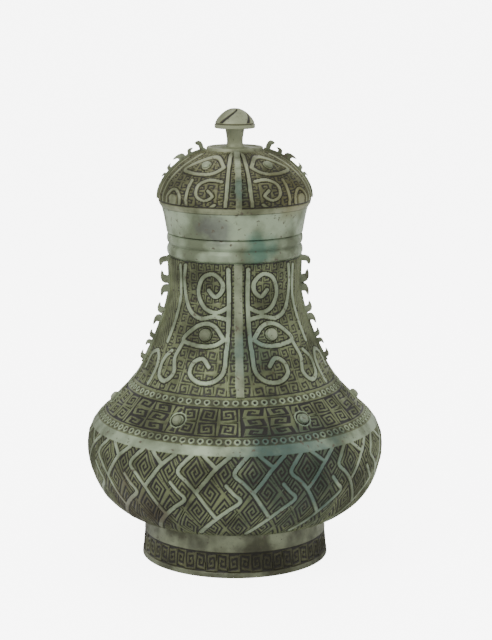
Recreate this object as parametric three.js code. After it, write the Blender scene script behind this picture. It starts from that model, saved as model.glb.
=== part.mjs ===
// Lidded hu: a bronze wine jar with a pear-shaped body, a ring foot, hooked side flanges
// and a domed lid that lifts off by its mushroom knob.
// Millimetres, +Z up. The origin is the centre of the foot's underside, and the front
// mask faces -Y. The wall, the lid and the knob are turned forms about the Z axis.

import * as THREE from 'three';

// Heights, stacked from the ground up
const footHeight = 35;
const bellyHeight = 75.75;
const bandHeight = 6;
const neckHeight = 130.75;
const collarHeight = 18.9;
const lipHeight = 20.1;
const lidHeight = 45;
const discHeight = 2;
const stemHeight = 14.8;
const capHeight = 15.7;

// Radii of the outside
const footBaseRadius = 76.2;
const footTopRadius = 73.5;
const bellyRadius = 120.5;
const bandBottomRadius = 115.8;
const bandTopRadius = 111.4;
const neckRadius = 52.5;
const collarRadius = 54.6;
const lipRadius = 58.6;
const lidRimRadius = 58.9;
const lidRadius = 61.4;
const discRadius = 22.6;
const stemRadius = 7.2;
const stemWaist = 6.4;
const capRadius = 16.3;

// Walls and clearances
const wall = 3.5;
const footWall = 4.5;
const lidWall = 3;
const tongueWall = 2.6;
const tongueDepth = 15;
const tongueClearance = 0.7;
const lidGap = 0.3;
const seatGap = 0.35;

// Flanges, ridges, bosses and eyes
const flangeThickness = 4.5;
const flangeRoot = 1.2;
const ridgeWidth = 6;
const ridgeRise = 1.3;
const noseWidth = 4.3;
const noseRise = 1.6;
const bossRadius = 4.3;
const bossRise = 3.2;
const bossHeight = 131;
const bossCount = 6;
const neckEyeRadius = 5;
const neckEyeRise = 2.6;
const neckEyeHeight = 192;
const neckEyeAngle = 25.6;
const lidEyeRadius = 3.8;
const lidEyeRise = 2;
const lidEyeHeight = 36;
const lidEyeAngle = 34;
const turnSteps = 40;
const domeSteps = 12;

const bandBottom = footHeight + bellyHeight;
const bandTop = bandBottom + bandHeight;
const neckTop = bandTop + neckHeight;
const collarTop = neckTop + collarHeight;
const mouth = collarTop + lipHeight;
const lidBottom = mouth + lidGap;
const lidTop = lidBottom + lidHeight;
const discTop = lidTop + discHeight;
const stemTop = discTop + stemHeight;

const bronze = (color, roughness) => new THREE.MeshStandardMaterial({ color, roughness, metalness: 0.35 });
const greyGreen = () => bronze(0xa3ab90, 0.6);
const olive = () => bronze(0x7f8468, 0.62);
const darkFoot = () => bronze(0x6d6d57, 0.65);

const part = new THREE.Group();

function addPiece(name, geometry, material, place = () => {}) {
  const mesh = new THREE.Mesh(geometry, material);
  mesh.name = name;
  place(mesh);
  part.add(mesh);
}

// A turned solid from its outline in radius and height, taken up the outside
function revolve(outline, steps = turnSteps) {
  const geometry = new THREE.LatheGeometry(outline, steps);
  geometry.rotateX(Math.PI / 2);
  return geometry;
}

// A smooth stretch of outline. Each station is a share of the way from the near radius
// to the far one, and a share of the stretch's height.
function stretch(stations, zeroRadius, fullRadius, bottom, height, count) {
  const through = stations.map(
    ([share, rise]) => new THREE.Vector2(
      zeroRadius + share * (fullRadius - zeroRadius),
      bottom + rise * height,
    ),
  );
  return new THREE.SplineCurve(through).getPoints(count);
}

const bellySwell = [
  [0, 0], [0.18, 0.021], [0.383, 0.066], [0.621, 0.178], [0.787, 0.304],
  [0.911, 0.462], [0.989, 0.647], [1, 0.766], [0.983, 0.884],
];
const shoulderFall = [
  [1, 0], [0.747, 0.114], [0.475, 0.254], [0.246, 0.446],
  [0.136, 0.568], [0.042, 0.698], [0, 0.805], [0.012, 1],
];
const lidSwell = [
  [0.979, 0.056], [1, 0.133], [0.995, 0.244], [0.948, 0.367], [0.861, 0.5],
  [0.732, 0.64], [0.577, 0.767], [0.397, 0.873], [0.217, 0.951], [0, 1],
];

const belly = [
  ...stretch(bellySwell, footTopRadius, bellyRadius, footHeight, bellyHeight, 12),
  new THREE.Vector2(bandBottomRadius, bandBottom),
];
const neck = stretch(shoulderFall, neckRadius, bandTopRadius, bandTop, neckHeight, 14);
const lip = new THREE.SplineCurve([
  new THREE.Vector2(collarRadius, collarTop),
  new THREE.Vector2(collarRadius + 0.55 * (lipRadius - collarRadius), collarTop + 0.63 * lipHeight),
  new THREE.Vector2(lipRadius, mouth),
]).getPoints(3);

// Two rounded mouldings ring the neck below the plain lip
function collar(bottom, height) {
  const bulge = 0.9;
  const low = collarRadius - bulge;
  return [
    new THREE.Vector2(low, bottom + 0.05 * height),
    new THREE.Vector2(collarRadius, bottom + 0.22 * height),
    new THREE.Vector2(collarRadius, bottom + 0.8 * height),
    new THREE.Vector2(low, bottom + 0.97 * height),
  ];
}

// The same outline moved square to itself, inward for a negative distance
function offset(outline, distance) {
  return outline.map((point, index) => {
    const before = outline[Math.max(index - 1, 0)];
    const after = outline[Math.min(index + 1, outline.length - 1)];
    const along = after.clone().sub(before).normalize();
    return new THREE.Vector2(point.x + distance * along.y, point.y - distance * along.x);
  });
}

// Hollow body with a flat floor, open at the mouth
const outside = [
  ...belly,
  ...neck,
  ...collar(neckTop, collarHeight / 2),
  ...collar(neckTop + collarHeight / 2, collarHeight / 2),
  ...lip,
];
const floorTop = footHeight + wall;
const smoothWall = [...belly.slice(3), ...neck.slice(1), ...lip.slice(1)];
const inside = offset(smoothWall, -wall)
  .filter((point, index) => index % 2 === 0 && point.y > floorTop + 1 && point.y < mouth - 1);
const mouthRadius = lipRadius - wall;
const vessel = [
  new THREE.Vector2(0, footHeight),
  ...outside,
  new THREE.Vector2(mouthRadius, mouth),
  ...inside.reverse(),
  new THREE.Vector2(footTopRadius - 2, floorTop),
  new THREE.Vector2(0, floorTop),
];
addPiece('vessel_body', revolve(vessel), greyGreen());

// Hollow foot ring, which carries the body on its upper edge
const foot = [
  new THREE.Vector2(footBaseRadius - footWall, 0),
  new THREE.Vector2(footBaseRadius, 0),
  new THREE.Vector2(footTopRadius + 0.3 * (footBaseRadius - footTopRadius), 0.57 * footHeight),
  new THREE.Vector2(footTopRadius, footHeight),
  new THREE.Vector2(footTopRadius - footWall, footHeight),
  new THREE.Vector2(footBaseRadius - footWall, 0),
];
addPiece('foot_ring', revolve(foot), darkFoot());

// Domed lid, open below, with a flat field on top under the disc
const dome = [
  new THREE.Vector2(lidRimRadius, lidBottom),
  ...stretch(lidSwell, discRadius, lidRadius, lidBottom, lidHeight, 12),
];
const domeInside = offset(dome, -lidWall).filter((point) => point.y > lidBottom + 4);
const tongueRadius = collarRadius - wall - tongueClearance;
const lid = [
  new THREE.Vector2(tongueRadius, lidBottom),
  ...dome,
  new THREE.Vector2(0, lidTop),
  new THREE.Vector2(0, lidTop - lidWall),
  ...domeInside.reverse(),
  new THREE.Vector2(tongueRadius, lidBottom + 3),
  new THREE.Vector2(tongueRadius, lidBottom),
];
addPiece('lid_shell', revolve(lid), olive());

// The tongue stands inside the mouth and keeps the lid centred
const tongueTop = lidBottom + 3;
const tongue = [
  new THREE.Vector2(tongueRadius - seatGap - tongueWall, lidBottom - tongueDepth),
  new THREE.Vector2(tongueRadius - seatGap, lidBottom - tongueDepth),
  new THREE.Vector2(tongueRadius - seatGap, tongueTop),
  new THREE.Vector2(tongueRadius - seatGap - tongueWall, tongueTop),
  new THREE.Vector2(tongueRadius - seatGap - tongueWall, lidBottom - tongueDepth),
];
addPiece('lid_tongue', revolve(tongue), olive());

const disc = [
  new THREE.Vector2(0, lidTop),
  new THREE.Vector2(discRadius, lidTop),
  new THREE.Vector2(discRadius - 0.4, lidTop + 0.7 * discHeight),
  new THREE.Vector2(discRadius - 1.2, discTop),
  new THREE.Vector2(0, discTop),
];
addPiece('lid_crown_disc', revolve(disc), olive());

// Knob: a waisted stem under a mushroom cap with an upright edge
const stem = [
  new THREE.Vector2(0, discTop),
  ...new THREE.SplineCurve([
    new THREE.Vector2(stemRadius, discTop),
    new THREE.Vector2(stemWaist, discTop + 0.34 * stemHeight),
    new THREE.Vector2(stemRadius + 0.7, stemTop),
  ]).getPoints(5),
  new THREE.Vector2(0, stemTop),
];
addPiece('knob_stem', revolve(stem, 24), olive());

const cap = [
  new THREE.Vector2(0, stemTop),
  new THREE.Vector2(capRadius, stemTop),
  ...new THREE.SplineCurve([
    new THREE.Vector2(capRadius, stemTop + 0.22 * capHeight),
    new THREE.Vector2(0.83 * capRadius, stemTop + 0.52 * capHeight),
    new THREE.Vector2(0.55 * capRadius, stemTop + 0.81 * capHeight),
    new THREE.Vector2(0.25 * capRadius, stemTop + 0.97 * capHeight),
    new THREE.Vector2(0, stemTop + capHeight),
  ]).getPoints(7),
];
addPiece('knob_cap', revolve(cap, 24), olive());

// Place and outward direction on an outline where its height is the one asked for
function seatAt(outline, height) {
  const index = outline.findIndex((point, at) => at > 0 && point.y >= height);
  const low = outline[index - 1];
  const high = outline[index];
  const point = low.clone().lerp(high, (height - low.y) / (high.y - low.y));
  const along = high.clone().sub(low).normalize();
  return { point, out: new THREE.Vector2(along.y, -along.x) };
}

// Hooks along a flange: where each starts and ends, measured along the wall, how far it
// stands out, and whether its tip points onward (1) or back (-1)
const hookForm = [
  [0, 0], [0.03, 0.45], [0.15, 0.8], [0.42, 1], [0.75, 0.98],
  [1, 0.84], [0.84, 0.62], [0.64, 0.5], [0.58, 0],
];

function hookPoints(walk, { from, to, reach, tip }) {
  const length = to - from;
  const form = hookForm.map(([along, rise]) => [
    tip > 0 ? from + along * length : to - along * length,
    flangeRoot + rise * (reach - flangeRoot),
  ]);
  const { point, along, out } = walk((from + to) / 2);
  const middle = (from + to) / 2;
  const placed = form.map(([at, rise]) => point.clone()
    .addScaledVector(along, at - middle)
    .addScaledVector(out, rise));
  return tip > 0 ? placed : placed.reverse();
}

// A walker along an outline: place, direction and outward side at a distance from its start
function walker(outline) {
  const marks = [0];
  outline.slice(1).forEach((point, index) => marks.push(marks[index] + point.distanceTo(outline[index])));
  const walk = (distance) => {
    const after = Math.max(1, marks.findIndex((mark, at) => at > 0 && mark >= distance));
    const low = outline[after - 1];
    const high = outline[after];
    const share = (distance - marks[after - 1]) / (marks[after] - marks[after - 1]);
    const along = high.clone().sub(low).normalize();
    return { point: low.clone().lerp(high, share), along, out: new THREE.Vector2(along.y, -along.x) };
  };
  const arcAt = (height) => {
    const { point } = seatAt(outline, height);
    const after = outline.findIndex((other, at) => at > 0 && other.y >= height);
    return marks[after - 1] + point.distanceTo(outline[after - 1]);
  };
  return { walk, arcAt, length: marks[marks.length - 1], marks };
}

// A flat plate that stands on the wall: its inner edge follows the wall, its outer edge
// is a low root with the hooks standing on it
function hookedPlate(wallLine, hooks, thickness, root) {
  const { walk } = walker(wallLine);
  const inner = offset(wallLine, seatGap);
  const outer = offset(wallLine, root);
  const { marks } = walker(wallLine);
  const edge = [];
  let next = 0;
  hooks.forEach((hook) => {
    while (next < marks.length && marks[next] < hook.from - 0.4) {
      edge.push(outer[next]);
      next += 1;
    }
    edge.push(...hookPoints(walk, hook));
    while (next < marks.length && marks[next] < hook.to + 0.4) {
      next += 1;
    }
  });
  edge.push(...outer.slice(Math.min(next, outer.length - 1)));
  const shape = new THREE.Shape([...inner.reverse(), ...edge]);
  const geometry = new THREE.ExtrudeGeometry(shape, { depth: thickness, bevelEnabled: false });
  geometry.rotateX(Math.PI / 2);
  geometry.translate(0, thickness / 2, 0);
  return geometry;
}

// The stretch of an outline between two heights, cut at exactly those heights
function between(outline, low, high) {
  const middle = outline.filter((point) => point.y > low + 0.5 && point.y < high - 0.5);
  return [seatAt(outline, low).point, ...middle, seatAt(outline, high).point];
}

// The neck's flange, from the foot of the mask panel up to the lower collar. Its hooks
// are given by their heights over the panel's foot.
const panelBottom = bandTop + 31;
const flangeStart = 12;
const flangeLine = between(neck, panelBottom + flangeStart, neckTop - 0.5);
const neckHooks = [
  { low: 13.9, high: 20, reach: 4.6, tip: 1 },
  { low: 23.9, high: 29.2, reach: 4.8, tip: -1 },
  { low: 30.9, high: 36.8, reach: 5.2, tip: 1 },
  { low: 40.9, high: 50, reach: 5.8, tip: -1 },
  { low: 51.2, high: 59.4, reach: 6.2, tip: 1 },
  { low: 64.9, high: 75.2, reach: 6.8, tip: -1 },
  { low: 76.4, high: 87, reach: 7.2, tip: 1 },
  { low: 91, high: 98.6, reach: 8.2, tip: -1 },
].map(({ low, high, reach, tip }) => {
  const { arcAt } = walker(flangeLine);
  return { from: arcAt(panelBottom + low), to: arcAt(panelBottom + high), reach, tip };
});

// The lid's flange runs from the plain rim band up to the crown disc. Its hooks are
// given by their distance down the dome from the disc.
const lidLine = between(dome, lidBottom + 0.14 * lidHeight, lidTop - 0.15);
const fromDisc = ({ near, far, reach, tip }) => {
  const { length } = walker(lidLine);
  return { from: length - far, to: length - near, reach, tip };
};
const lidHooks = [
  { near: 37, far: 41.5, reach: 2.8, tip: -1 },
  { near: 28.8, far: 34.5, reach: 3.8, tip: 1 },
  { near: 16.6, far: 26.6, reach: 5.2, tip: -1 },
  { near: 9, far: 14.6, reach: 4.6, tip: 1 },
  { near: 1, far: 7.4, reach: 8, tip: -1 },
].map(fromDisc);
const noseNotches = [
  { near: 30, far: 38, reach: 2.4, tip: 1 },
  { near: 18, far: 26, reach: 2.6, tip: 1 },
  { near: 6, far: 14, reach: 2.6, tip: 1 },
].map(fromDisc);
const sides = [['right', 0], ['left', Math.PI]];
const faces = [['front', -Math.PI / 2], ['back', Math.PI / 2]];
const ridgeLine = between(neck, panelBottom, neckTop - 0.5);

sides.forEach(([side, turn]) => {
  const turned = (mesh) => { mesh.rotation.z = turn; };
  addPiece(`neck_flange_${side}`, hookedPlate(flangeLine, neckHooks, flangeThickness, flangeRoot), greyGreen(), turned);
  addPiece(`lid_flange_${side}`, hookedPlate(lidLine, lidHooks, flangeThickness, flangeRoot), olive(), turned);
});
faces.forEach(([face, turn]) => {
  const turned = (mesh) => { mesh.rotation.z = turn; };
  addPiece(`neck_ridge_${face}`, hookedPlate(ridgeLine, [], ridgeWidth, ridgeRise), greyGreen(), turned);
  addPiece(`lid_ridge_${face}`, hookedPlate(lidLine, noseNotches, noseWidth, noseRise), olive(), turned);
});

// A domed stud that stands square on the wall at an angle round from the front
function addStud(name, line, height, degrees, radius, rise, material) {
  const { point, out } = seatAt(line, height);
  const angle = THREE.MathUtils.degToRad(degrees);
  const around = (radial, up) => new THREE.Vector3(radial * Math.sin(angle), -radial * Math.cos(angle), up);
  const outline = [
    new THREE.Vector2(0, 0),
    new THREE.Vector2(radius, 0),
    new THREE.Vector2(0.92 * radius, 0.45 * rise),
    new THREE.Vector2(0.6 * radius, 0.85 * rise),
    new THREE.Vector2(0, rise),
  ];
  addPiece(name, revolve(outline, domeSteps), material, (mesh) => {
    const seat = point.clone().addScaledVector(out, seatGap);
    mesh.position.copy(around(seat.x, seat.y));
    mesh.quaternion.setFromUnitVectors(new THREE.Vector3(0, 0, 1), around(out.x, out.y));
  });
}

for (let index = 0; index < bossCount; index += 1) {
  const degrees = (360 / bossCount) * (index + 0.5);
  addStud(`shoulder_boss_${index + 1}`, neck, bossHeight, degrees, bossRadius, bossRise, greyGreen());
}

const eyeSides = [
  ['front_right', 1, 0], ['front_left', -1, 0], ['back_right', -1, 180], ['back_left', 1, 180],
];
eyeSides.forEach(([place, sign, half]) => {
  const onNeck = half + sign * neckEyeAngle;
  const onLid = half + sign * lidEyeAngle;
  const lidEyeLevel = lidBottom + lidEyeHeight;
  addStud(`neck_eye_${place}`, neck, neckEyeHeight, onNeck, neckEyeRadius, neckEyeRise, greyGreen());
  addStud(`lid_eye_${place}`, dome, lidEyeLevel, onLid, lidEyeRadius, lidEyeRise, olive());
});

export default part;
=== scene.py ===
"""Looks of a lidded bronze hu: carved wall, shoulder, neck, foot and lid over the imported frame."""
from __future__ import annotations

import logging
import math
from dataclasses import dataclass, field
from enum import Enum
from typing import Callable, Optional, Union

import bmesh
import bpy
import numpy as np
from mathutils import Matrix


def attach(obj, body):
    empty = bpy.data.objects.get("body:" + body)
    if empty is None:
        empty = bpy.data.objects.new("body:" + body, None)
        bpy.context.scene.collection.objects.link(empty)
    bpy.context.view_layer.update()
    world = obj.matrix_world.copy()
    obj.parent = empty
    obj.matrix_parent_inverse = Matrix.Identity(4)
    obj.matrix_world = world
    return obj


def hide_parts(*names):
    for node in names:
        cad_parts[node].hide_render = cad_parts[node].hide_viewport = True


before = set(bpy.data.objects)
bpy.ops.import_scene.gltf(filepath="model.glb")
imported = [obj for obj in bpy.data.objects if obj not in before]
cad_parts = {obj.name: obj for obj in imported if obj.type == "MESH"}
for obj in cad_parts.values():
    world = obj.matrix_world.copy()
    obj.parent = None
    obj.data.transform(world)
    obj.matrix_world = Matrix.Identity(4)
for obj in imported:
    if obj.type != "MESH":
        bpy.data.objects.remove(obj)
log = logging.getLogger("bronze_hu")

MM = 0.001
VESSEL = "vessel"
LID = "lid"

# Heights in millimetres, stacked from the ground as on the solids
FOOT_TOP = 35.0
BAND_BOTTOM = 110.75
BAND_TOP = 116.75
PANEL_BOTTOM = 147.75
NECK_TOP = 247.5
COLLAR_TOP = 266.4
MOUTH = 286.5
LID_BOTTOM = 286.8
LID_TOP = 331.8
DISC_TOP = 333.8
STEM_TOP = 348.6
CAP_HEIGHT = 15.6

# Radii and walls in millimetres
FOOT_BASE_RADIUS = 76.1
FOOT_TOP_RADIUS = 73.5
BELLY_RADIUS = 120.3
BAND_BOTTOM_RADIUS = 115.8
BAND_TOP_RADIUS = 111.4
NECK_RADIUS = 52.5
COLLAR_RADIUS = 54.6
LIP_RADIUS = 58.6
LID_RIM_RADIUS = 58.9
LID_RADIUS = 61.3
DISC_RADIUS = 22.6
CAP_RADIUS = 16.2
WALL = 3.5
LID_WALL = 3.0
FOOT_WALL = 4.5
FOOT_BEND = (74.3, 20.0)
FLOOR_RADIUS = 72.5
FLOOR_CLEARANCE = 0.1
LID_SEAT_RADIUS = 50.4
TONGUE_OUTSIDE = 50.0
TONGUE_INSIDE = 47.45
TONGUE_DEPTH = 14.9
TONGUE_SEAT = 3.0

# Depth of a groove in millimetres, and the share of it by which a carved field lies below its straps
GROOVE_DEPTH = 0.95
FIELD_CUT = 0.24

# Cast features in millimetres: how far from the wall their edge is found, how deep it is pressed in
SEAT_REACH = 0.9
SEAT_DEPTH = 0.6
SEAT_STEP = 0.3
MESH_STEP = 0.6

Outline = np.ndarray
Relief = Callable[[np.ndarray, np.ndarray, np.ndarray], np.ndarray]
Stroke = list[tuple[float, float]]
Lamp = tuple[str, tuple[float, float, float], float, float]
Colour = Union[bpy.types.NodeSocket, tuple[float, float, float, float]]

# Stations of the turned outlines, as shares of the radius range and of the height
BELLY_SWELL = [(0, 0), (0.18, 0.021), (0.383, 0.066), (0.621, 0.178), (0.787, 0.304),
               (0.911, 0.462), (0.989, 0.647), (1, 0.766), (0.983, 0.884)]
SHOULDER_FALL = [(1, 0), (0.747, 0.114), (0.475, 0.254), (0.246, 0.446),
                 (0.136, 0.568), (0.042, 0.698), (0, 0.805), (0.012, 1)]
LID_SWELL = [(0.979, 0.056), (1, 0.133), (0.995, 0.244), (0.948, 0.367), (0.861, 0.5),
             (0.732, 0.64), (0.577, 0.767), (0.397, 0.873), (0.217, 0.951), (0, 1)]


def spline(points: list[tuple[float, float]], per_span: int = 24) -> Outline:
    """A smooth curve through points.

    Args:
        points: The stations that the curve passes through.
        per_span: Steps between two stations.

    Returns:
        The curve's points, one a row.
    """
    knots = np.array([points[0], *points, points[-1]], dtype=float)
    steps = np.linspace(0, 1, per_span, endpoint=False)[:, None]
    spans = []
    for before, low, high, after in zip(knots, knots[1:], knots[2:], knots[3:]):
        start = (high - before) / 2
        end = (after - low) / 2
        spans.append((2 * low - 2 * high + start + end) * steps**3
                     + (-3 * low + 3 * high - 2 * start - end) * steps**2 + start * steps + low)
    return np.vstack([*spans, knots[-1]])


def stretch(stations: list[tuple[float, float]], near: float, far: float, low: float, high: float) -> Outline:
    """A stretch of outline from shares of its radius range and height, as on the solids.

    Args:
        stations: Shares of the way from near to far, and from low to high.
        near: Radius at a share of nought.
        far: Radius at a share of one.
        low: Height at a share of nought.
        high: Height at a share of one.

    Returns:
        The outline's points, one a row.
    """
    return spline([(near + share * (far - near), low + rise * (high - low)) for share, rise in stations])


def resample(outline: Outline, step: float) -> Outline:
    """The same outline with even steps along its length.

    Args:
        outline: The outline to divide.
        step: Length of a step in millimetres.

    Returns:
        The divided outline.
    """
    marks = arc_lengths(outline)
    count = max(2, int(round(marks[-1] / step)) + 1)
    even = np.linspace(0, marks[-1], count)
    return np.column_stack([np.interp(even, marks, outline[:, axis]) for axis in range(2)])


def arc_lengths(outline: Outline) -> np.ndarray:
    """Distance along an outline at each of its points.

    Args:
        outline: The outline to measure.

    Returns:
        Millimetres from its first point, one for each point.
    """
    return np.concatenate([[0], np.cumsum(np.hypot(*np.diff(outline, axis=0).T))])


def outward(outline: Outline) -> np.ndarray:
    """Unit direction out of the wall at each point of an outline.

    Args:
        outline: The outline, taken upward.

    Returns:
        A direction of length one for each point.
    """
    along = np.gradient(outline, axis=0)
    along /= np.maximum(np.hypot(*along.T), 1e-9)[:, None]
    return np.column_stack([along[:, 1], -along[:, 0]])


def between(outline: Outline, low: float, high: float) -> Outline:
    """The stretch of an upward outline between two heights.

    Args:
        outline: The whole outline.
        low: Height where the stretch starts.
        high: Height where it ends.

    Returns:
        The stretch, with a point at each of the two heights.
    """
    inner = outline[(outline[:, 1] > low + 0.05) & (outline[:, 1] < high - 0.05)]
    ends = [[np.interp(z, outline[:, 1], outline[:, 0]), z] for z in (low, high)]
    return np.vstack([ends[0], inner, ends[1]])


BELLY = np.vstack([stretch(BELLY_SWELL, FOOT_TOP_RADIUS, BELLY_RADIUS, FOOT_TOP, BAND_BOTTOM),
                   [BAND_BOTTOM_RADIUS, BAND_BOTTOM]])
NECK = stretch(SHOULDER_FALL, NECK_RADIUS, BAND_TOP_RADIUS, BAND_TOP, NECK_TOP)
DOME = np.vstack([[LID_RIM_RADIUS, LID_BOTTOM],
                  stretch(LID_SWELL, DISC_RADIUS, LID_RADIUS, LID_BOTTOM, LID_TOP)])


def smooth(edge_low: float, edge_high: float, value: np.ndarray) -> np.ndarray:
    """Ease from nought to one between two edges.

    Args:
        edge_low: Value up to which the result is nought.
        edge_high: Value from which the result is one.
        value: The values to ease.

    Returns:
        A share for each value.
    """
    share = np.clip((value - edge_low) / (edge_high - edge_low), 0, 1)
    return share * share * (3 - 2 * share)


def squared_spiral(x: np.ndarray, y: np.ndarray, turns: float, hand: np.ndarray) -> np.ndarray:
    """Groove of a squared spiral that fills a cell from -1 to 1 each way.

    Args:
        x: Place across the cell.
        y: Place up the cell.
        turns: Windings from the middle to the edge.
        hand: 1 or -1, the way it winds.

    Returns:
        One in the groove, nought on the ridge.
    """
    reach = np.maximum(np.abs(x), np.abs(y))
    turn = np.arctan2(y * hand, x) / (2 * math.pi) + 0.5
    winding = np.mod(reach * turns - turn, 1.0)
    return 1 - smooth(0.2, 0.33, np.abs(winding - 0.5))


def cells(u: np.ndarray, v: np.ndarray) -> tuple[np.ndarray, np.ndarray, np.ndarray]:
    """Place inside the cells of a unit grid.

    Args:
        u: Place across the grid.
        v: Place up the grid.

    Returns:
        Place across and up the cell from -1 to 1, and a hand that alternates between cells.
    """
    hand = np.where(np.mod(np.floor(u) + np.floor(v), 2) < 1, 1.0, -1.0)
    return np.mod(u, 1.0) * 2 - 1, np.mod(v, 1.0) * 2 - 1, hand


def thread(u: np.ndarray, v: np.ndarray, turns: float, border: float = 0.86) -> np.ndarray:
    """Ground of squared spirals, one in each unit cell, with a ridge between cells.

    Args:
        u: Place across the grid.
        v: Place up the grid.
        turns: Windings of each spiral.
        border: Share of the cell that its spiral takes.

    Returns:
        One in the groove, nought on the ridge.
    """
    x, y, hand = cells(u, v)
    inside = np.maximum(np.abs(x), np.abs(y)) < border
    return squared_spiral(x, y, turns, hand) * inside


def stroke_distance(x: np.ndarray, z: np.ndarray, radius: np.ndarray, strokes: list[Stroke],
                    lift: float) -> np.ndarray:
    """Distance to the nearest of some strokes drawn in degrees and height.

    Args:
        x: Degrees round.
        z: Height in millimetres.
        radius: Radius in millimetres.
        strokes: The strokes.
        lift: Length along the wall for each millimetre of height.

    Returns:
        Millimetres to the nearest stroke.
    """
    nearest = np.full(x.shape, 99.0)
    scale = radius * math.pi / 180
    for points in strokes:
        path = spline(points, 5)
        for (x0, z0), (x1, z1) in zip(path, path[1:]):
            close = (np.abs(z - (z0 + z1) / 2) < 12) & (np.abs(x - (x0 + x1) / 2) < 16)
            if not close.any():
                continue
            px = (x[close] - x0) * scale[close]
            pz = (z[close] - z0) * lift
            qx = (x1 - x0) * scale[close]
            qz = (z1 - z0) * lift
            along = np.clip((px * qx + pz * qz) / np.maximum(qx * qx + qz * qz, 1e-6), 0, 1)
            nearest[close] = np.minimum(nearest[close], np.hypot(px - along * qx, pz - along * qz))
    return nearest


def straps(distance: np.ndarray, ground: np.ndarray, half_width: float = 1.7) -> np.ndarray:
    """Plain raised straps edged by a cut line, over a ground of finer grooves.

    Args:
        distance: Millimetres from the middle of the nearest strap.
        ground: Grooves of the ground, from nought to one.
        half_width: Half a strap's width in millimetres.

    Returns:
        Depth of cut from nought to one.
    """
    past_line = smooth(half_width + 0.9, half_width + 1.3, distance)
    line = smooth(half_width, half_width + 0.25, distance) * (1 - past_line)
    carved = (FIELD_CUT + (1 - FIELD_CUT) * ground) * smooth(half_width, half_width + 1.2, distance)
    return np.maximum(line, carved)


# Belly: straps of one repeat as degrees from the view's middle and height in millimetres
BELLY_REPEATS = 17
LOZENGE_HEIGHT = 64.0
CROSSING = (-14.4, 81.5)
PHOTO_TURN = 3.0
BELLY_STROKES = [
    [(-12.2, 111), (-9.5, 106.2), (-6.75, 101.5)],
    [(-1.8, 110), (-6.75, 101.5), (-10.6, 91.5), (-14.4, 81.5)],
    [(-16.2, 110.5), (-21.3, 98), (-17.8, 89.7), (-14.4, 81.5), (-10.8, 70), (-7.3, 59)],
    [(-15.9, 43), (-11.6, 51), (-7.3, 59), (-2.6, 67), (2.1, 75), (-0.5, 81.5), (-3.1, 88)],
]


def belly_relief(theta: np.ndarray, arc: np.ndarray, point: np.ndarray) -> np.ndarray:
    """Lozenge straps on the diagonals over a ground of squared spirals set the same way.

    Args:
        theta: Degrees round from the front.
        arc: Millimetres up the outline.
        point: Radius and height in millimetres.

    Returns:
        Depth of cut from nought to one.
    """
    radius = point[:, 0]
    z = point[:, 1]
    period = 360 / BELLY_REPEATS
    x = np.mod(theta + PHOTO_TURN, period) - period
    near = [stroke_distance(x + shift * period, z, radius, BELLY_STROKES, 1.06) for shift in (-1, 0, 1)]
    across = (x - CROSSING[0]) / period
    up = (z - CROSSING[1]) / LOZENGE_HEIGHT
    ground = thread((across + up) * 2, (across - up) * 2, 3.0, 0.95)
    cut = straps(np.minimum(np.minimum(near[0], near[1]), near[2]), ground, 1.5)
    rim = smooth(0.6, 1.2, arc) * (1 - smooth(arc.max() - 1.2, arc.max() - 0.6, arc))
    return cut * rim


# Shoulder: each row of rings as middle height, count and reach, and the band of compartments
RING_ROWS = [(119.6, 95, 3.0), (144.4, 71, 2.9)]
DRAGON_LOW = 122.9
DRAGON_HIGH = 141.2


def shoulder_relief(theta: np.ndarray, arc: np.ndarray, point: np.ndarray) -> np.ndarray:
    """Plain ridge band, two rows of rings, and six compartments of spirals between them.

    Args:
        theta: Degrees round from the front.
        arc: Millimetres up the outline; not used.
        point: Radius and height in millimetres.

    Returns:
        Depth of cut from nought to one.
    """
    radius = point[:, 0]
    z = point[:, 1]
    cut = np.zeros(len(theta))
    cut[z > BAND_TOP] = FIELD_CUT
    for middle, count, reach in RING_ROWS:
        in_row = np.abs(z - middle) < reach * 0.72
        dx = (np.mod(theta * count / 360, 1) - 0.5) * 2 * math.pi * radius / count
        from_ring = np.hypot(dx, (z - middle) * 1.42)
        ring = np.maximum(smooth(2.6, 2.9, from_ring) * 0.7, 1 - smooth(1.0, 1.4, from_ring))
        cut = np.where(in_row, ring, cut)
    band = (z > DRAGON_LOW) & (z < DRAGON_HIGH)
    rise = (z - DRAGON_LOW) / (DRAGON_HIGH - DRAGON_LOW)
    place = np.mod(theta, 60) - 30
    rows = thread(place / 12.5 + 0.4, rise * 3, 1.55, 0.96)
    curls = thread(place / 9.6, rise * 2, 2.2, 0.96)
    ground = FIELD_CUT + (1 - FIELD_CUT) * np.where(place < 0, rows, curls)
    from_boss = np.hypot(place * radius * math.pi / 180, (z - 131.5) * 1.42)
    collar = smooth(4.5, 4.8, from_boss) * (1 - smooth(5.7, 6.0, from_boss))
    body = np.where(from_boss < 7.2, collar, ground)
    rims = (np.abs(z - DRAGON_LOW) < 0.45) | (np.abs(z - DRAGON_HIGH) < 0.45)
    edge = rims | (band & (np.abs(place) > 29.6))
    return np.maximum(np.where(band, body, cut), edge * 1.0)


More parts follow.
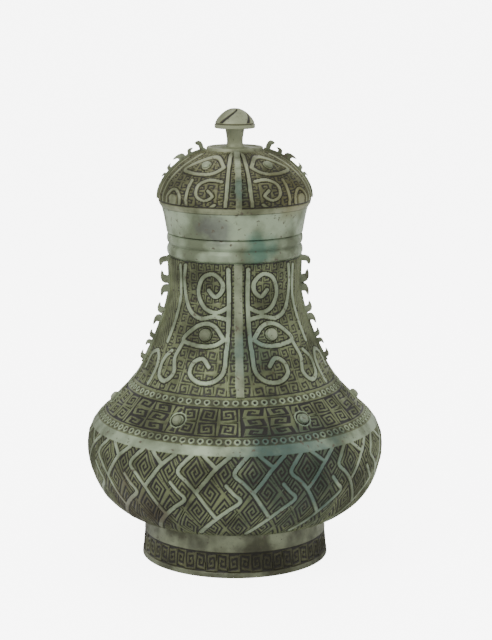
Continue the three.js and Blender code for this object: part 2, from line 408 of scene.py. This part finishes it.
# Neck mask: straps and eye socket as degrees from the ridge and height in millimetres
NECK_SOCKET = (25.6, 192.0)
NECK_STROKES = [
    [(9, 213), (19, 209), (30, 213), (36, 223), (32, 235), (22, 239), (14, 233), (14, 226), (20, 221),
     (26, 226)],
    [(8, 204), (20, 206), (32, 204), (43, 209), (50, 219), (52, 232), (50, 244)],
    [(11, 189), (18, 198), (26, 200.5), (35, 197), (44, 187), (34, 184), (25, 183.5), (17, 185), (11, 189)],
    [(8.5, 243), (8, 222), (8, 200), (8.5, 182)],
    [(9, 181), (10, 166), (16, 158.5), (25, 157.5), (32, 163), (31, 171), (25, 174.5), (20, 169)],
    [(44, 184), (47, 173), (44, 162), (49, 155), (56, 159), (57, 170), (52, 177)],
    [(57, 243), (57, 222), (58, 200), (60, 183)],
    [(62, 150.5), (62, 166), (68, 174), (76, 170), (76, 160)],
]
NECK_LIFT = 1.12


def folded(theta: np.ndarray) -> np.ndarray:
    """Mirror the angle about the ridges, so that one drawing serves four quarters.

    Args:
        theta: Degrees round from the front.

    Returns:
        Degrees from the nearer of the front and back ridges.
    """
    around = np.abs(np.mod(theta + 180, 360) - 180)
    return np.minimum(around, 180 - around)


def neck_relief(theta: np.ndarray, arc: np.ndarray, point: np.ndarray) -> np.ndarray:
    """Mask panel: horns, sockets and jaws in plain straps over a spiral ground.

    Args:
        theta: Degrees round from the front.
        arc: Millimetres up the outline; not used.
        point: Radius and height in millimetres.

    Returns:
        Depth of cut from nought to one.
    """
    radius = point[:, 0]
    z = point[:, 1]
    x = folded(theta)
    millimetres = x * radius * math.pi / 180
    ground = thread(x / 7.6 + 0.1, (z - PANEL_BOTTOM) / 8.4, 1.6, 0.9) * 0.8
    lines = 1 - smooth(0.16, 0.3, np.abs(np.mod(millimetres / 3.3, 1) - 0.5))
    side = (x > 62) & (x < 86.5) & (z > 178)
    ground = np.where(side, lines, ground)
    cut = straps(stroke_distance(x, z, radius, NECK_STROKES, NECK_LIFT), ground)
    socket = np.hypot((x - NECK_SOCKET[0]) * radius * math.pi / 180, (z - NECK_SOCKET[1]) * NECK_LIFT)
    cut = np.where(socket < 6.6, smooth(5.0, 5.3, socket) * (1 - smooth(6.0, 6.4, socket)), cut)
    edge = (z < PANEL_BOTTOM + 1.3) | (z > NECK_TOP - 0.9)
    plain = (millimetres < 3.4) | (x > 87)
    return np.where(plain, 0.0, np.maximum(cut, edge * 0.9))


# Lid mask: straps, eye socket and oval as degrees from the ridge and height in millimetres
LID_SOCKET = (34.0, 322.8)
LID_OVAL = (56.0, 296.0)
LID_STROKES = [
    [(14, 322), (22, 327.5), (33, 328.5), (46, 325.5), (58, 319), (46, 317), (33, 316.5), (22, 318),
     (14, 322)],
    [(9, 330), (9, 318), (9, 305), (10, 293)],
    [(14, 312), (24, 313), (33, 309), (33, 301), (26, 297.5), (20, 301), (24, 305)],
    [(18, 294.5), (24, 291), (33, 292)],
    [(41, 312), (42, 303), (41, 291)],
    [(49, 290), (48, 298), (53, 303.5), (59, 303.5), (64, 298), (63, 290), (56, 288.8), (49, 290)],
    [(60, 329), (66, 320), (70, 310), (71, 291)],
    [(79, 326), (80, 312), (79, 292)],
]
LID_LIFT = 1.35


def lid_relief(theta: np.ndarray, arc: np.ndarray, point: np.ndarray) -> np.ndarray:
    """Mask of the lid: sockets, hooked straps and plain ovals over a dense ground.

    Args:
        theta: Degrees round from the front.
        arc: Millimetres up the outline.
        point: Radius and height in millimetres.

    Returns:
        Depth of cut from nought to one.
    """
    radius = point[:, 0]
    z = point[:, 1]
    x = folded(theta)
    millimetres = x * radius * math.pi / 180
    ground = thread(x / 8.5, arc / 6.4, 1.3, 0.88) * 0.85
    cut = straps(stroke_distance(x, z, radius, LID_STROKES, LID_LIFT), ground, 1.4)
    socket = np.hypot((x - LID_SOCKET[0]) * radius * math.pi / 180, (z - LID_SOCKET[1]) * 1.5)
    cut = np.where(socket < 5.3, smooth(3.9, 4.1, socket) * (1 - smooth(4.9, 5.2, socket)), cut)
    oval = np.hypot((x - LID_OVAL[0]) * radius * math.pi / 180 / 6, (z - LID_OVAL[1]) / 5.6)
    cut = np.where(oval < 0.8, 0.0, cut)
    plain = (z < 291.5) | (millimetres < 2.6) | (x > 87)
    line = (z > 291.5) & (z < 292.3)
    return np.where(plain, 0.0, np.maximum(cut, line * 0.9))


# Foot: count of spirals round it, and the heights between which they stand
FOOT_CELLS = 52
FOOT_BAND = (4.6, 19.6)


def foot_relief(theta: np.ndarray, arc: np.ndarray, point: np.ndarray) -> np.ndarray:
    """A row of squared spirals between two cut lines, under a plain band.

    Args:
        theta: Degrees round from the front.
        arc: Millimetres up the outline; not used.
        point: Radius and height in millimetres.

    Returns:
        Depth of cut from nought to one.
    """
    z = point[:, 1]
    low, high = FOOT_BAND
    rise = (z - low) / (high - low)
    inside = (rise > 0) & (rise < 1)
    spirals = thread(theta * FOOT_CELLS / 360, np.clip(rise, 0, 0.999), 1.9, 0.94)
    row = FIELD_CUT + (1 - FIELD_CUT) * spirals
    lines = (np.abs(z - low) < 0.5) | (np.abs(z - high) < 0.5)
    return np.maximum(row * inside, lines * 0.9)


def cap_relief(theta: np.ndarray, arc: np.ndarray, point: np.ndarray) -> np.ndarray:
    """Four whorls that curl over the knob's cap above its plain edge.

    Args:
        theta: Degrees round from the front.
        arc: Millimetres up the outline; not used.
        point: Radius and height in millimetres.

    Returns:
        Depth of cut from nought to one.
    """
    sweep = np.mod(theta / 90 + point[:, 0] / 15, 1.0)
    whorl = 1 - smooth(0.05, 0.1, np.abs(sweep - 0.5))
    rim = np.abs(point[:, 1] - (STEM_TOP + 3.6)) < 0.4
    return np.maximum(whorl * (point[:, 1] > STEM_TOP + 4.6) * (point[:, 0] > 4), rim * 0.8)


@dataclass
class Turned:
    """A closed turned piece, with an optional carved outer face.

    Attributes:
        name: Name of the piece, and of its sectors with a number.
        body: Body that it rides on.
        slot: Material slot that it takes its finish from.
        nodes: Nodes that it stands for.
        outer: Outside outline, taken upward.
        inner: Inside outline, taken downward.
        relief: Depth of cut from 0 to 1 over the outer face.
        sectors: Closed sectors that it is made in.
        step: Spacing of the mesh in millimetres.
        depth: Depth of a full cut in millimetres.
        made: The objects made from it, one a sector.
    """

    name: str
    body: str
    slot: str
    nodes: tuple[str, ...]
    outer: Outline
    inner: Outline
    relief: Optional[Relief] = None
    sectors: int = 1
    step: float = MESH_STEP
    depth: float = GROOVE_DEPTH
    made: list[bpy.types.Object] = field(default_factory=list)

    def build(self, material: bpy.types.Material) -> None:
        """Make each sector, give it its finish and let it ride.

        Args:
            material: The finish.
        """
        outer = resample(self.outer, self.step) if self.relief else self.outer
        widest = outer[:, 0].max()
        around = 2 * math.pi * widest / (self.step if self.relief else 3.0)
        steps = max(12, int(round(around / self.sectors)))
        for index in range(self.sectors):
            suffix = f"_{index + 1}" if self.sectors > 1 else ""
            made = self._sector(outer, index, steps, f"{self.name}{suffix}")
            made.data.materials.append(material)
            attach(made, self.body)
            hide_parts(*self.nodes)
            self.made.append(made)

    def _sector(self, outer: Outline, index: int, steps: int, name: str) -> bpy.types.Object:
        """Spin the outline through one sector and close it.

        Args:
            outer: Outside outline, evenly divided.
            index: Which sector, from nought.
            steps: Steps round the sector.
            name: Name of the object.

        Returns:
            The closed piece.
        """
        sweep = 2 * math.pi / self.sectors
        start = index * sweep
        whole = self.sectors == 1
        loop = np.vstack([outer, self.inner])
        arcs = np.concatenate([arc_lengths(outer), np.full(len(self.inner), -1.0)])
        form = bmesh.new()
        arc_layer = form.verts.layers.float.new("arc")
        rank_layer = form.verts.layers.int.new("rank")
        ring = []
        for rank, ((radius, z), arc) in enumerate(zip(loop, arcs)):
            vert = form.verts.new((radius * MM * math.cos(start), radius * MM * math.sin(start), z * MM))
            vert[arc_layer] = arc
            vert[rank_layer] = rank
            ring.append(vert)
        on_axis = loop[0, 0] < 1e-6 and loop[-1, 0] < 1e-6
        pairs = list(zip(ring, ring[1:])) + ([] if on_axis else [(ring[-1], ring[0])])
        edges = [form.edges.new(pair) for pair in pairs]
        spun = bmesh.ops.spin(form, geom=ring + edges, cent=(0, 0, 0), axis=(0, 0, 1), dvec=(0, 0, 0),
                              angle=sweep, steps=steps, use_merge=whole, use_duplicate=False)
        if not whole:
            last = [item for item in spun["geom_last"] if isinstance(item, bmesh.types.BMVert)]
            last.sort(key=lambda vert: vert[rank_layer])
            form.faces.new(ring)
            form.faces.new(last)
        if on_axis:
            bmesh.ops.remove_doubles(form, verts=form.verts[:], dist=1e-7)
        bmesh.ops.recalc_face_normals(form, faces=form.faces[:])
        mesh = bpy.data.meshes.new(name)
        form.to_mesh(mesh)
        form.free()
        self._carve(mesh, outer)
        made = bpy.data.objects.new(name, mesh)
        bpy.context.scene.collection.objects.link(made)
        mesh.polygons.foreach_set("use_smooth", np.ones(len(mesh.polygons), dtype=bool))
        mesh.set_sharp_from_angle(angle=math.radians(60))
        return made

    def _carve(self, mesh: bpy.types.Mesh, outer: Outline) -> None:
        """Cut the relief into the outer face and keep its depth as an attribute.

        Args:
            mesh: The closed piece's mesh, with its arc attribute.
            outer: Outside outline, evenly divided.
        """
        count = len(mesh.vertices)
        height = np.ones(count)
        if self.relief:
            places = np.empty(count * 3)
            mesh.vertices.foreach_get("co", places)
            places = places.reshape(-1, 3)
            arcs = np.empty(count)
            mesh.attributes["arc"].data.foreach_get("value", arcs)
            face = arcs >= 0
            marks = arc_lengths(outer)
            normal = outward(outer)
            here = places[face]
            theta = np.degrees(np.arctan2(here[:, 0], -here[:, 1]))
            radius = np.hypot(here[:, 0], here[:, 1])
            point = np.column_stack([radius, here[:, 2]]) / MM
            cut = self.relief(theta, arcs[face], point)
            inset = -cut * self.depth * MM
            side = [np.interp(arcs[face], marks, normal[:, axis]) for axis in range(2)]
            grown = 1 + inset * side[0] / radius
            here = np.column_stack([here[:, 0] * grown, here[:, 1] * grown, here[:, 2] + inset * side[1]])
            places[face] = here
            mesh.vertices.foreach_set("co", places.ravel())
            height[face] = 1 - cut
        mesh.attributes.new("relief", "FLOAT", "POINT").data.foreach_set("value", height)
        for name in ("arc", "rank"):
            mesh.attributes.remove(mesh.attributes[name])


def srgb(code: str) -> tuple[float, float, float, float]:
    """Linear colour from an sRGB hex code.

    Args:
        code: The code, from # to its sixth digit.

    Returns:
        Red, green, blue and full opacity.
    """
    parts = [int(code[at:at + 2], 16) / 255 for at in (1, 3, 5)]
    linear = [part / 12.92 if part <= 0.04045 else ((part + 0.055) / 1.055) ** 2.4 for part in parts]
    return (*linear, 1.0)


class Face(Enum):
    """Whether a finish reads the depth of carving from its mesh."""

    CARVED = "carved"
    PLAIN = "plain"


@dataclass(frozen=True)
class Patina:
    """Corroded cast bronze: pale green raised faces, dark cut lines, patches of other salts, and a dark mask
    that makes the foot darker towards its lower edge.

    Attributes:
        name: Name of the material.
        ridge: Colour of the raised faces.
        shade: Second colour that mottles them.
        groove: Colour in the cut lines.
        face: Whether the mesh carries the depth of carving.
    """

    name: str
    ridge: str
    shade: str
    groove: str
    face: Face = Face.CARVED

    def make(self) -> bpy.types.Material:
        """Build the node tree.

        Returns:
            The finished material.
        """
        material = bpy.data.materials.new(self.name)
        material.use_nodes = True
        tree = material.node_tree
        shader = tree.nodes["Principled BSDF"]
        place = node(tree, "ShaderNodeTexCoord").outputs["Object"]
        mottle = self._noise(tree, place, 38.0, 6.0, 0.42, 0.62)
        colour = blend(tree, mottle, srgb(self.ridge), srgb(self.shade))
        # Patches of other corrosion, the last one making the foot darker towards its lower edge
        for centre, reach, code, strength in PATCHES:
            mask = self._patch(tree, place, centre, reach, strength)
            colour = blend(tree, mask, colour, srgb(code))
        speck = self._noise(tree, place, 260.0, 3.0, 0.62, 0.7)
        colour = blend(tree, speck, colour, srgb("#4e4a3a"))
        if self.face is Face.CARVED:
            depth = node(tree, "ShaderNodeAttribute")
            depth.attribute_name = "relief"
            sunk = node(tree, "ShaderNodeMix")
            sunk.data_type = "RGBA"
            sunk.blend_type = "MULTIPLY"
            sunk.inputs["Factor"].default_value = 1.0
            tree.links.new(colour, sunk.inputs[6])
            sunk.inputs[7].default_value = srgb("#bab697")
            for low, high, below in ((0.78, 0.96, sunk.outputs[2]), (0.12, 0.6, srgb(self.groove))):
                ramp = node(tree, "ShaderNodeMapRange")
                ramp.inputs["From Min"].default_value = low
                ramp.inputs["From Max"].default_value = high
                tree.links.new(depth.outputs["Fac"], ramp.inputs["Value"])
                colour = blend(tree, ramp.outputs["Result"], below, colour)
        tree.links.new(colour, shader.inputs["Base Color"])
        rough = node(tree, "ShaderNodeMapRange")
        rough.inputs["To Min"].default_value = 0.46
        rough.inputs["To Max"].default_value = 0.7
        tree.links.new(mottle, rough.inputs["Value"])
        tree.links.new(rough.outputs["Result"], shader.inputs["Roughness"])
        shader.inputs["Metallic"].default_value = 0.25
        fine = node(tree, "ShaderNodeTexNoise")
        fine.inputs["Scale"].default_value = 900.0
        fine.inputs["Detail"].default_value = 5.0
        tree.links.new(place, fine.inputs["Vector"])
        bump = node(tree, "ShaderNodeBump")
        bump.inputs["Strength"].default_value = 0.5
        bump.inputs["Distance"].default_value = 0.0004
        tree.links.new(fine.outputs["Fac"], bump.inputs["Height"])
        tree.links.new(bump.outputs["Normal"], shader.inputs["Normal"])
        return material

    @staticmethod
    def _noise(tree: bpy.types.NodeTree, place: bpy.types.NodeSocket, scale: float, detail: float, low: float,
               high: float) -> bpy.types.NodeSocket:
        """Noise spread between two of its values.

        Args:
            tree: The material's tree.
            place: Coordinates in metres.
            scale: Features to a metre.
            detail: Octaves of the noise.
            low: Value that gives nought.
            high: Value that gives one.

        Returns:
            The spread noise.
        """
        noise = node(tree, "ShaderNodeTexNoise")
        noise.inputs["Scale"].default_value = scale
        noise.inputs["Detail"].default_value = detail
        tree.links.new(place, noise.inputs["Vector"])
        spread = node(tree, "ShaderNodeMapRange")
        spread.inputs["From Min"].default_value = low
        spread.inputs["From Max"].default_value = high
        tree.links.new(noise.outputs["Fac"], spread.inputs["Value"])
        return spread.outputs["Result"]

    @staticmethod
    def _patch(tree: bpy.types.NodeTree, place: bpy.types.NodeSocket, centre: tuple[float, float, float],
               reach: float, strength: float) -> bpy.types.NodeSocket:
        """Mask of one ragged patch.

        Args:
            tree: The material's tree.
            place: Coordinates in metres.
            centre: Middle of the patch in millimetres.
            reach: Its radius in millimetres.
            strength: How far it covers what lies under it.

        Returns:
            The mask.
        """
        gap = node(tree, "ShaderNodeVectorMath")
        gap.operation = "DISTANCE"
        gap.inputs[1].default_value = [part * MM for part in centre]
        tree.links.new(place, gap.inputs[0])
        ragged = node(tree, "ShaderNodeTexNoise")
        ragged.inputs["Scale"].default_value = 60.0
        ragged.inputs["Detail"].default_value = 6.0
        tree.links.new(place, ragged.inputs["Vector"])
        worn = node(tree, "ShaderNodeMath")
        worn.operation = "MULTIPLY_ADD"
        worn.inputs[1].default_value = reach * MM * 1.6
        tree.links.new(ragged.outputs["Fac"], worn.inputs[0])
        tree.links.new(gap.outputs["Value"], worn.inputs[2])
        fade = node(tree, "ShaderNodeMapRange")
        fade.inputs["From Min"].default_value = reach * MM * 1.9
        fade.inputs["From Max"].default_value = reach * MM * 1.3
        fade.inputs["To Max"].default_value = strength
        tree.links.new(worn.outputs["Value"], fade.inputs["Value"])
        return fade.outputs["Result"]


# Patches of other corrosion, the last a dark mask that makes the foot darker towards its lower edge: centre
# and reach in millimetres, colour and strength
PATCHES = [
    ((40, -108, 95), 55, "#2f4a46", 0.75),
    ((10, -60, 180), 22, "#3d5852", 0.55),
    ((18, -52, 258), 14, "#35695c", 0.5),
    ((-20, -54, 274), 15, "#403c40", 0.6),
    ((0, -58, 305), 10, "#2c504c", 0.45),
    ((-75, -70, 62), 34, "#4a3022", 0.55),
    ((45, -38, 300), 22, "#666132", 0.5),
    ((60, 90, 90), 50, "#2f4a46", 0.55),
    # Dark mask centred below the ground: the foot darker towards its lower edge
    ((0, 0, -60), 115, "#2b2a1c", 0.9),
]


def node(tree: bpy.types.NodeTree, kind: str) -> bpy.types.Node:
    """Add one node to a tree."""
    return tree.nodes.new(kind)


def blend(tree: bpy.types.NodeTree, amount: bpy.types.NodeSocket, low: Colour,
          high: Colour) -> bpy.types.NodeSocket:
    """Mix two colours.

    Args:
        tree: The material's tree.
        amount: Share of the second colour.
        low: First colour, a socket or a fixed colour.
        high: Second colour, a socket or a fixed colour.

    Returns:
        The mixed colour.
    """
    mix = node(tree, "ShaderNodeMix")
    mix.data_type = "RGBA"
    tree.links.new(amount, mix.inputs["Factor"])
    for index, value in ((6, low), (7, high)):
        if isinstance(value, tuple):
            mix.inputs[index].default_value = value
        else:
            tree.links.new(value, mix.inputs[index])
    return mix.outputs[2]


@dataclass(frozen=True)
class Stud:
    """A domed stud that stands for a boss or an eye.

    Attributes:
        node_name: The node that it stands for.
        body: Body that it rides on.
        slot: Not used; the finish is the material that build is given.
    """

    node_name: str
    body: str
    slot: str

    def build(self, material: bpy.types.Material) -> None:
        """Round the solid of this name and give it its finish.

        Args:
            material: The finish.
        """
        rounded(self.node_name, self.body, material, 0.5, 3)


def seat(form: bmesh.types.BMesh, outline: Outline) -> None:
    """Press the inner edge of a cast feature into the wall that carries it.

    Args:
        form: The feature, in metres.
        outline: Outside outline of the wall, taken upward.
    """
    wall = resample(outline, SEAT_STEP)
    away = outward(wall)
    for vert in form.verts:
        radius = math.hypot(vert.co.x, vert.co.y) / MM
        gaps = np.hypot(wall[:, 0] - radius, wall[:, 1] - vert.co.z / MM)
        nearest = int(gaps.argmin())
        if gaps[nearest] < SEAT_REACH:
            seated = wall[nearest] - away[nearest] * SEAT_DEPTH
            vert.co.x *= seated[0] / radius
            vert.co.y *= seated[0] / radius
            vert.co.z = seated[1] * MM


def rounded(name: str, body: str, material: bpy.types.Material, width: float,
            segments: int) -> None:
    """A copy of a solid with its sharp edges rounded.

    Args:
        name: The node that the piece stands for.
        body: Body that it rides on.
        material: Its finish.
        width: Width of the rounding in millimetres.
        segments: Steps across the rounding.
    """
    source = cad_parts[name]
    form = bmesh.new()
    form.from_mesh(source.data)
    bmesh.ops.remove_doubles(form, verts=form.verts[:], dist=1e-6)
    bmesh.ops.dissolve_limit(form, angle_limit=math.radians(1), verts=form.verts[:], edges=form.edges[:])
    sharp = [edge for edge in form.edges
             if len(edge.link_faces) == 2 and edge.calc_face_angle() > math.radians(50)]
    bmesh.ops.bevel(form, geom=sharp, offset=width * MM, offset_type="OFFSET", affect="EDGES",
                    segments=segments, profile=0.5, material=-1, clamp_overlap=True)
    seat(form, DOME if body == LID else np.vstack([BELLY, NECK]))
    bmesh.ops.triangulate(form, faces=form.faces[:])
    mesh = bpy.data.meshes.new(f"{name}_cast")
    form.to_mesh(mesh)
    form.free()
    made = bpy.data.objects.new(f"{name}_cast", mesh)
    bpy.context.scene.collection.objects.link(made)
    made.data.materials.append(material)
    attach(made, body)
    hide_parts(name)


def wall_inside(outer: Outline, wall: float, count: int = 14) -> Outline:
    """Inside outline of a stretch of wall.

    Args:
        outer: Outside outline, taken upward.
        wall: Thickness in millimetres.
        count: Points of the inside.

    Returns:
        The inside, taken downward.
    """
    thin = outer[np.linspace(0, len(outer) - 1, count).astype(int)]
    inside = thin - outward(thin) * wall
    inside[0, 1] = outer[0, 1]
    inside[-1, 1] = outer[-1, 1]
    return inside[::-1]


def vessel_pieces() -> list[Turned]:
    """List the foot, belly, shoulder, neck panel, mouldings and floor of the jar.

    Returns:
        The pieces, from the ground up and the floor last.
    """
    shoulder = np.vstack([[BAND_BOTTOM_RADIUS, BAND_BOTTOM], between(NECK, BAND_TOP, PANEL_BOTTOM)])
    panel = between(NECK, PANEL_BOTTOM, NECK_TOP)
    bulge = [(COLLAR_RADIUS - 2.2, 0.04), (COLLAR_RADIUS - 0.6, 0.16), (COLLAR_RADIUS - 0.1, 0.34),
             (COLLAR_RADIUS, 0.5), (COLLAR_RADIUS - 0.1, 0.66), (COLLAR_RADIUS - 0.6, 0.84),
             (COLLAR_RADIUS - 2.2, 0.96)]
    half = (COLLAR_TOP - NECK_TOP) / 2
    rings = np.array([(radius, NECK_TOP + half * (index + rise))
                      for index in range(2) for radius, rise in bulge])
    lip = spline([(COLLAR_RADIUS, COLLAR_TOP), (COLLAR_RADIUS + 2.2, COLLAR_TOP + 12.7),
                  (LIP_RADIUS, MOUTH)], 10)
    upper = np.vstack([panel[-1:], rings, lip])
    upper_inside = np.array([(LIP_RADIUS - WALL, MOUTH), (COLLAR_RADIUS - 1.3, COLLAR_TOP + 12.7),
                             (COLLAR_RADIUS - WALL, COLLAR_TOP), (panel[-1, 0] - WALL, NECK_TOP)])
    foot = resample(np.array([(FOOT_BASE_RADIUS, 0.0), FOOT_BEND, (FOOT_TOP_RADIUS, FOOT_TOP)]), MESH_STEP)
    foot_inside = np.array([(FOOT_TOP_RADIUS - FOOT_WALL, FOOT_TOP), (FOOT_BASE_RADIUS - FOOT_WALL, 0.0)])
    floor = np.array([(0.0, FOOT_TOP), (FOOT_TOP_RADIUS - FOOT_WALL, FOOT_TOP),
                      (FLOOR_RADIUS, FOOT_TOP + 0.4), (FLOOR_RADIUS, FOOT_TOP + WALL)])
    belly_foot = FLOOR_RADIUS + FLOOR_CLEARANCE
    belly_inside = wall_inside(BELLY[6:], WALL)
    belly_inside = belly_inside[belly_inside[:, 1] > FOOT_TOP + WALL]
    belly_inside = np.vstack([belly_inside, [belly_foot, FOOT_TOP + WALL], [belly_foot, FOOT_TOP]])
    body = "body_bronze"
    return [
        Turned("foot_carved", VESSEL, "foot_bronze", ("foot_ring",), foot, foot_inside, foot_relief, 1, 0.65),
        Turned("belly_carved", VESSEL, body, ("vessel_body",), BELLY, belly_inside, belly_relief, 6),
        Turned("shoulder_carved", VESSEL, body, ("vessel_body",), shoulder, wall_inside(shoulder, WALL),
               shoulder_relief, 2),
        Turned("neck_carved", VESSEL, body, ("vessel_body",), panel, wall_inside(panel, WALL),
               neck_relief, 4),
        Turned("neck_mouldings", VESSEL, body, ("vessel_body",), upper, upper_inside),
        Turned("vessel_floor", VESSEL, body, ("vessel_body",), floor, np.array([(0.0, FOOT_TOP + WALL)])),
    ]


def lid_pieces() -> list[Turned]:
    """List the dome, crown disc, tongue, stem and cap of the lid.

    Returns:
        The pieces.
    """
    inside = wall_inside(DOME, LID_WALL)
    seat_height = LID_BOTTOM + TONGUE_SEAT
    tip_height = LID_BOTTOM - TONGUE_DEPTH
    inside = np.vstack([inside[inside[:, 1] > LID_BOTTOM + 4], [LID_SEAT_RADIUS, seat_height],
                        [LID_SEAT_RADIUS, LID_BOTTOM]])
    crown = np.array([(0.0, LID_TOP - LID_WALL), (DISC_RADIUS, LID_TOP - LID_WALL),
                      (DISC_RADIUS, LID_TOP + 1.4), (DISC_RADIUS - 0.5, DISC_TOP), (19.6, DISC_TOP),
                      (19.0, DISC_TOP - 0.8), (12.0, DISC_TOP - 0.8), (11.4, DISC_TOP)])
    tongue = np.array([(TONGUE_OUTSIDE, tip_height), (TONGUE_OUTSIDE, seat_height)])
    tongue_inside = np.array([(TONGUE_INSIDE, seat_height), (TONGUE_INSIDE, tip_height)])
    stem = np.vstack([[0.0, DISC_TOP], spline([(7.2, DISC_TOP), (6.4, DISC_TOP + 5), (7.9, STEM_TOP)], 10)])
    rise = [(CAP_RADIUS, 0.22), (0.83 * CAP_RADIUS, 0.52), (0.55 * CAP_RADIUS, 0.81),
            (0.25 * CAP_RADIUS, 0.97), (0.0, 1.0)]
    cap_side = spline([(radius, STEM_TOP + share * CAP_HEIGHT) for radius, share in rise], 12)
    cap = np.vstack([[0.0, STEM_TOP], [CAP_RADIUS - 0.3, STEM_TOP], [CAP_RADIUS, STEM_TOP + 0.3],
                     cap_side[:-1]])
    slot = "lid_bronze"
    return [
        Turned("lid_carved", LID, slot, ("lid_shell",), DOME, inside, lid_relief, 2),
        Turned("lid_crown", LID, slot, ("lid_crown_disc",), crown, np.array([(0.0, DISC_TOP)])),
        Turned("lid_tongue_cast", LID, slot, ("lid_tongue",), tongue, tongue_inside),
        Turned("knob_stem_cast", LID, slot, ("knob_stem",), stem, np.array([(0.0, STEM_TOP)])),
        Turned("knob_cap_cast", LID, slot, ("knob_cap",), cap, np.array([(0.0, STEM_TOP + CAP_HEIGHT)]),
               cap_relief, 1, 0.5, 0.7),
    ]


@dataclass(frozen=True)
class Studio:
    """Pale floor, soft lights and the photograph's viewpoint.

    Attributes:
        distance: Metres from the axis to the camera.
        camera_height: Metres from the ground to the camera.
        pitch_degrees: How far the camera looks down.
        turn_degrees: How far it stands round from the front.
        lens: Focal length in millimetres.
        shift: Sideways shift as a share of the picture's width.
        paper_glow: Brightness of the floor as the camera sees it.
        room_light: Strength of the even light.
        lights: Name, place and size in metres, and power in watts of each lamp.
    """

    distance: float = 1.5
    camera_height: float = 0.4858
    pitch_degrees: float = 11.04
    turn_degrees: float = PHOTO_TURN
    lens: float = 106.2
    shift: float = 0.0175
    paper_glow: float = 7.0
    room_light: float = 1.0
    lights: tuple[Lamp, ...] = (
        ("key_light", (-0.9, -1.1, 1.5), 0.9, 22.0),
        ("fill_light", (1.3, -0.7, 0.9), 1.2, 5.0),
        ("top_light", (0.1, 0.5, 1.7), 1.0, 7.0),
    )

    def build(self) -> None:
        """Add the floor, the world, the lights and the camera."""
        form = bmesh.new()
        bmesh.ops.create_grid(form, x_segments=1, y_segments=1, size=80)
        mesh = bpy.data.meshes.new("floor")
        form.to_mesh(mesh)
        form.free()
        floor = bpy.data.objects.new("floor", mesh)
        bpy.context.scene.collection.objects.link(floor)
        paper = bpy.data.materials.new("white_paper")
        paper.use_nodes = True
        shader = paper.node_tree.nodes["Principled BSDF"]
        shader.inputs["Base Color"].default_value = srgb("#f4f4f4")
        shader.inputs["Roughness"].default_value = 0.9
        shader.inputs["Emission Color"].default_value = srgb("#f4f4f4")
        seen = node(paper.node_tree, "ShaderNodeLightPath").outputs["Is Camera Ray"]
        glow = node(paper.node_tree, "ShaderNodeMath")
        glow.operation = "MULTIPLY"
        glow.inputs[1].default_value = self.paper_glow
        paper.node_tree.links.new(seen, glow.inputs[0])
        paper.node_tree.links.new(glow.outputs["Value"], shader.inputs["Emission Strength"])
        mesh.materials.append(paper)
        world = bpy.data.worlds.new("pale_room")
        world.use_nodes = True
        world.node_tree.nodes["Background"].inputs["Color"].default_value = srgb("#f7f7f7")
        world.node_tree.nodes["Background"].inputs["Strength"].default_value = self.room_light
        bpy.context.scene.world = world
        for lamp in self.lights:
            self._light(*lamp)
        data = bpy.data.cameras.new("photo_view")
        data.lens = self.lens
        data.sensor_width = 36.0
        data.shift_x = self.shift
        camera = bpy.data.objects.new("photo_view", data)
        turn = math.radians(self.turn_degrees)
        camera.location = (-self.distance * math.sin(turn), -self.distance * math.cos(turn),
                           self.camera_height)
        camera.rotation_euler = (math.radians(90 - self.pitch_degrees), 0, -turn)
        bpy.context.scene.collection.objects.link(camera)
        bpy.context.scene.camera = camera

    @staticmethod
    def _light(name: str, place: tuple[float, float, float], size: float, power: float) -> None:
        """Add a square lamp that faces the jar.

        Args:
            name: Its name.
            place: Where it stands, in metres.
            size: Its width in metres.
            power: Its power in watts.
        """
        data = bpy.data.lights.new(name, "AREA")
        data.size = size
        data.energy = power
        light = bpy.data.objects.new(name, data)
        light.location = place
        aim = np.array([0, 0, 0.18]) - np.array(place)
        light.rotation_euler = (math.atan2(math.hypot(aim[0], aim[1]), -aim[2]), 0,
                                math.atan2(aim[1], aim[0]) - math.pi / 2)
        bpy.context.scene.collection.objects.link(light)


def main() -> None:
    """Build the scene and log each piece."""
    logging.basicConfig(level=logging.INFO, format="%(message)s")
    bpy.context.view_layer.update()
    Studio().build()
    # Cast tin bronze under a burial patina: matt and mottled, pale where raised, near black in the cut lines
    body = Patina("cast_bronze_grey_green", "#87947a", "#59614a", "#15130b")
    foot = Patina("cast_bronze_foot", "#7b8167", "#4c4e39", "#1a180f")
    lid = Patina("cast_bronze_olive", "#81866a", "#565a40", "#1c190f")
    plain = Patina("cast_bronze_flanges", "#7d856b", "#50553e", "#1c190f", Face.PLAIN)
    finishes = {"body_bronze": body.make(), "foot_bronze": foot.make(), "lid_bronze": lid.make()}
    uncut = plain.make()
    for piece in vessel_pieces() + lid_pieces():
        piece.build(finishes[piece.slot])
        log.info("made %s in %d", piece.name, len(piece.made))
    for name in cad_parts:
        owner = LID if name.startswith("lid_") else VESSEL
        slot = "lid_bronze" if owner == LID else "body_bronze"
        if "flange" in name or "ridge" in name:
            rounded(name, owner, uncut, 0.45, 2)
            log.info("made %s", name)
        elif "boss" in name or "eye" in name:
            Stud(name, owner, slot).build(uncut)
            log.info("made %s", name)


if __name__ == "__main__":
    main()
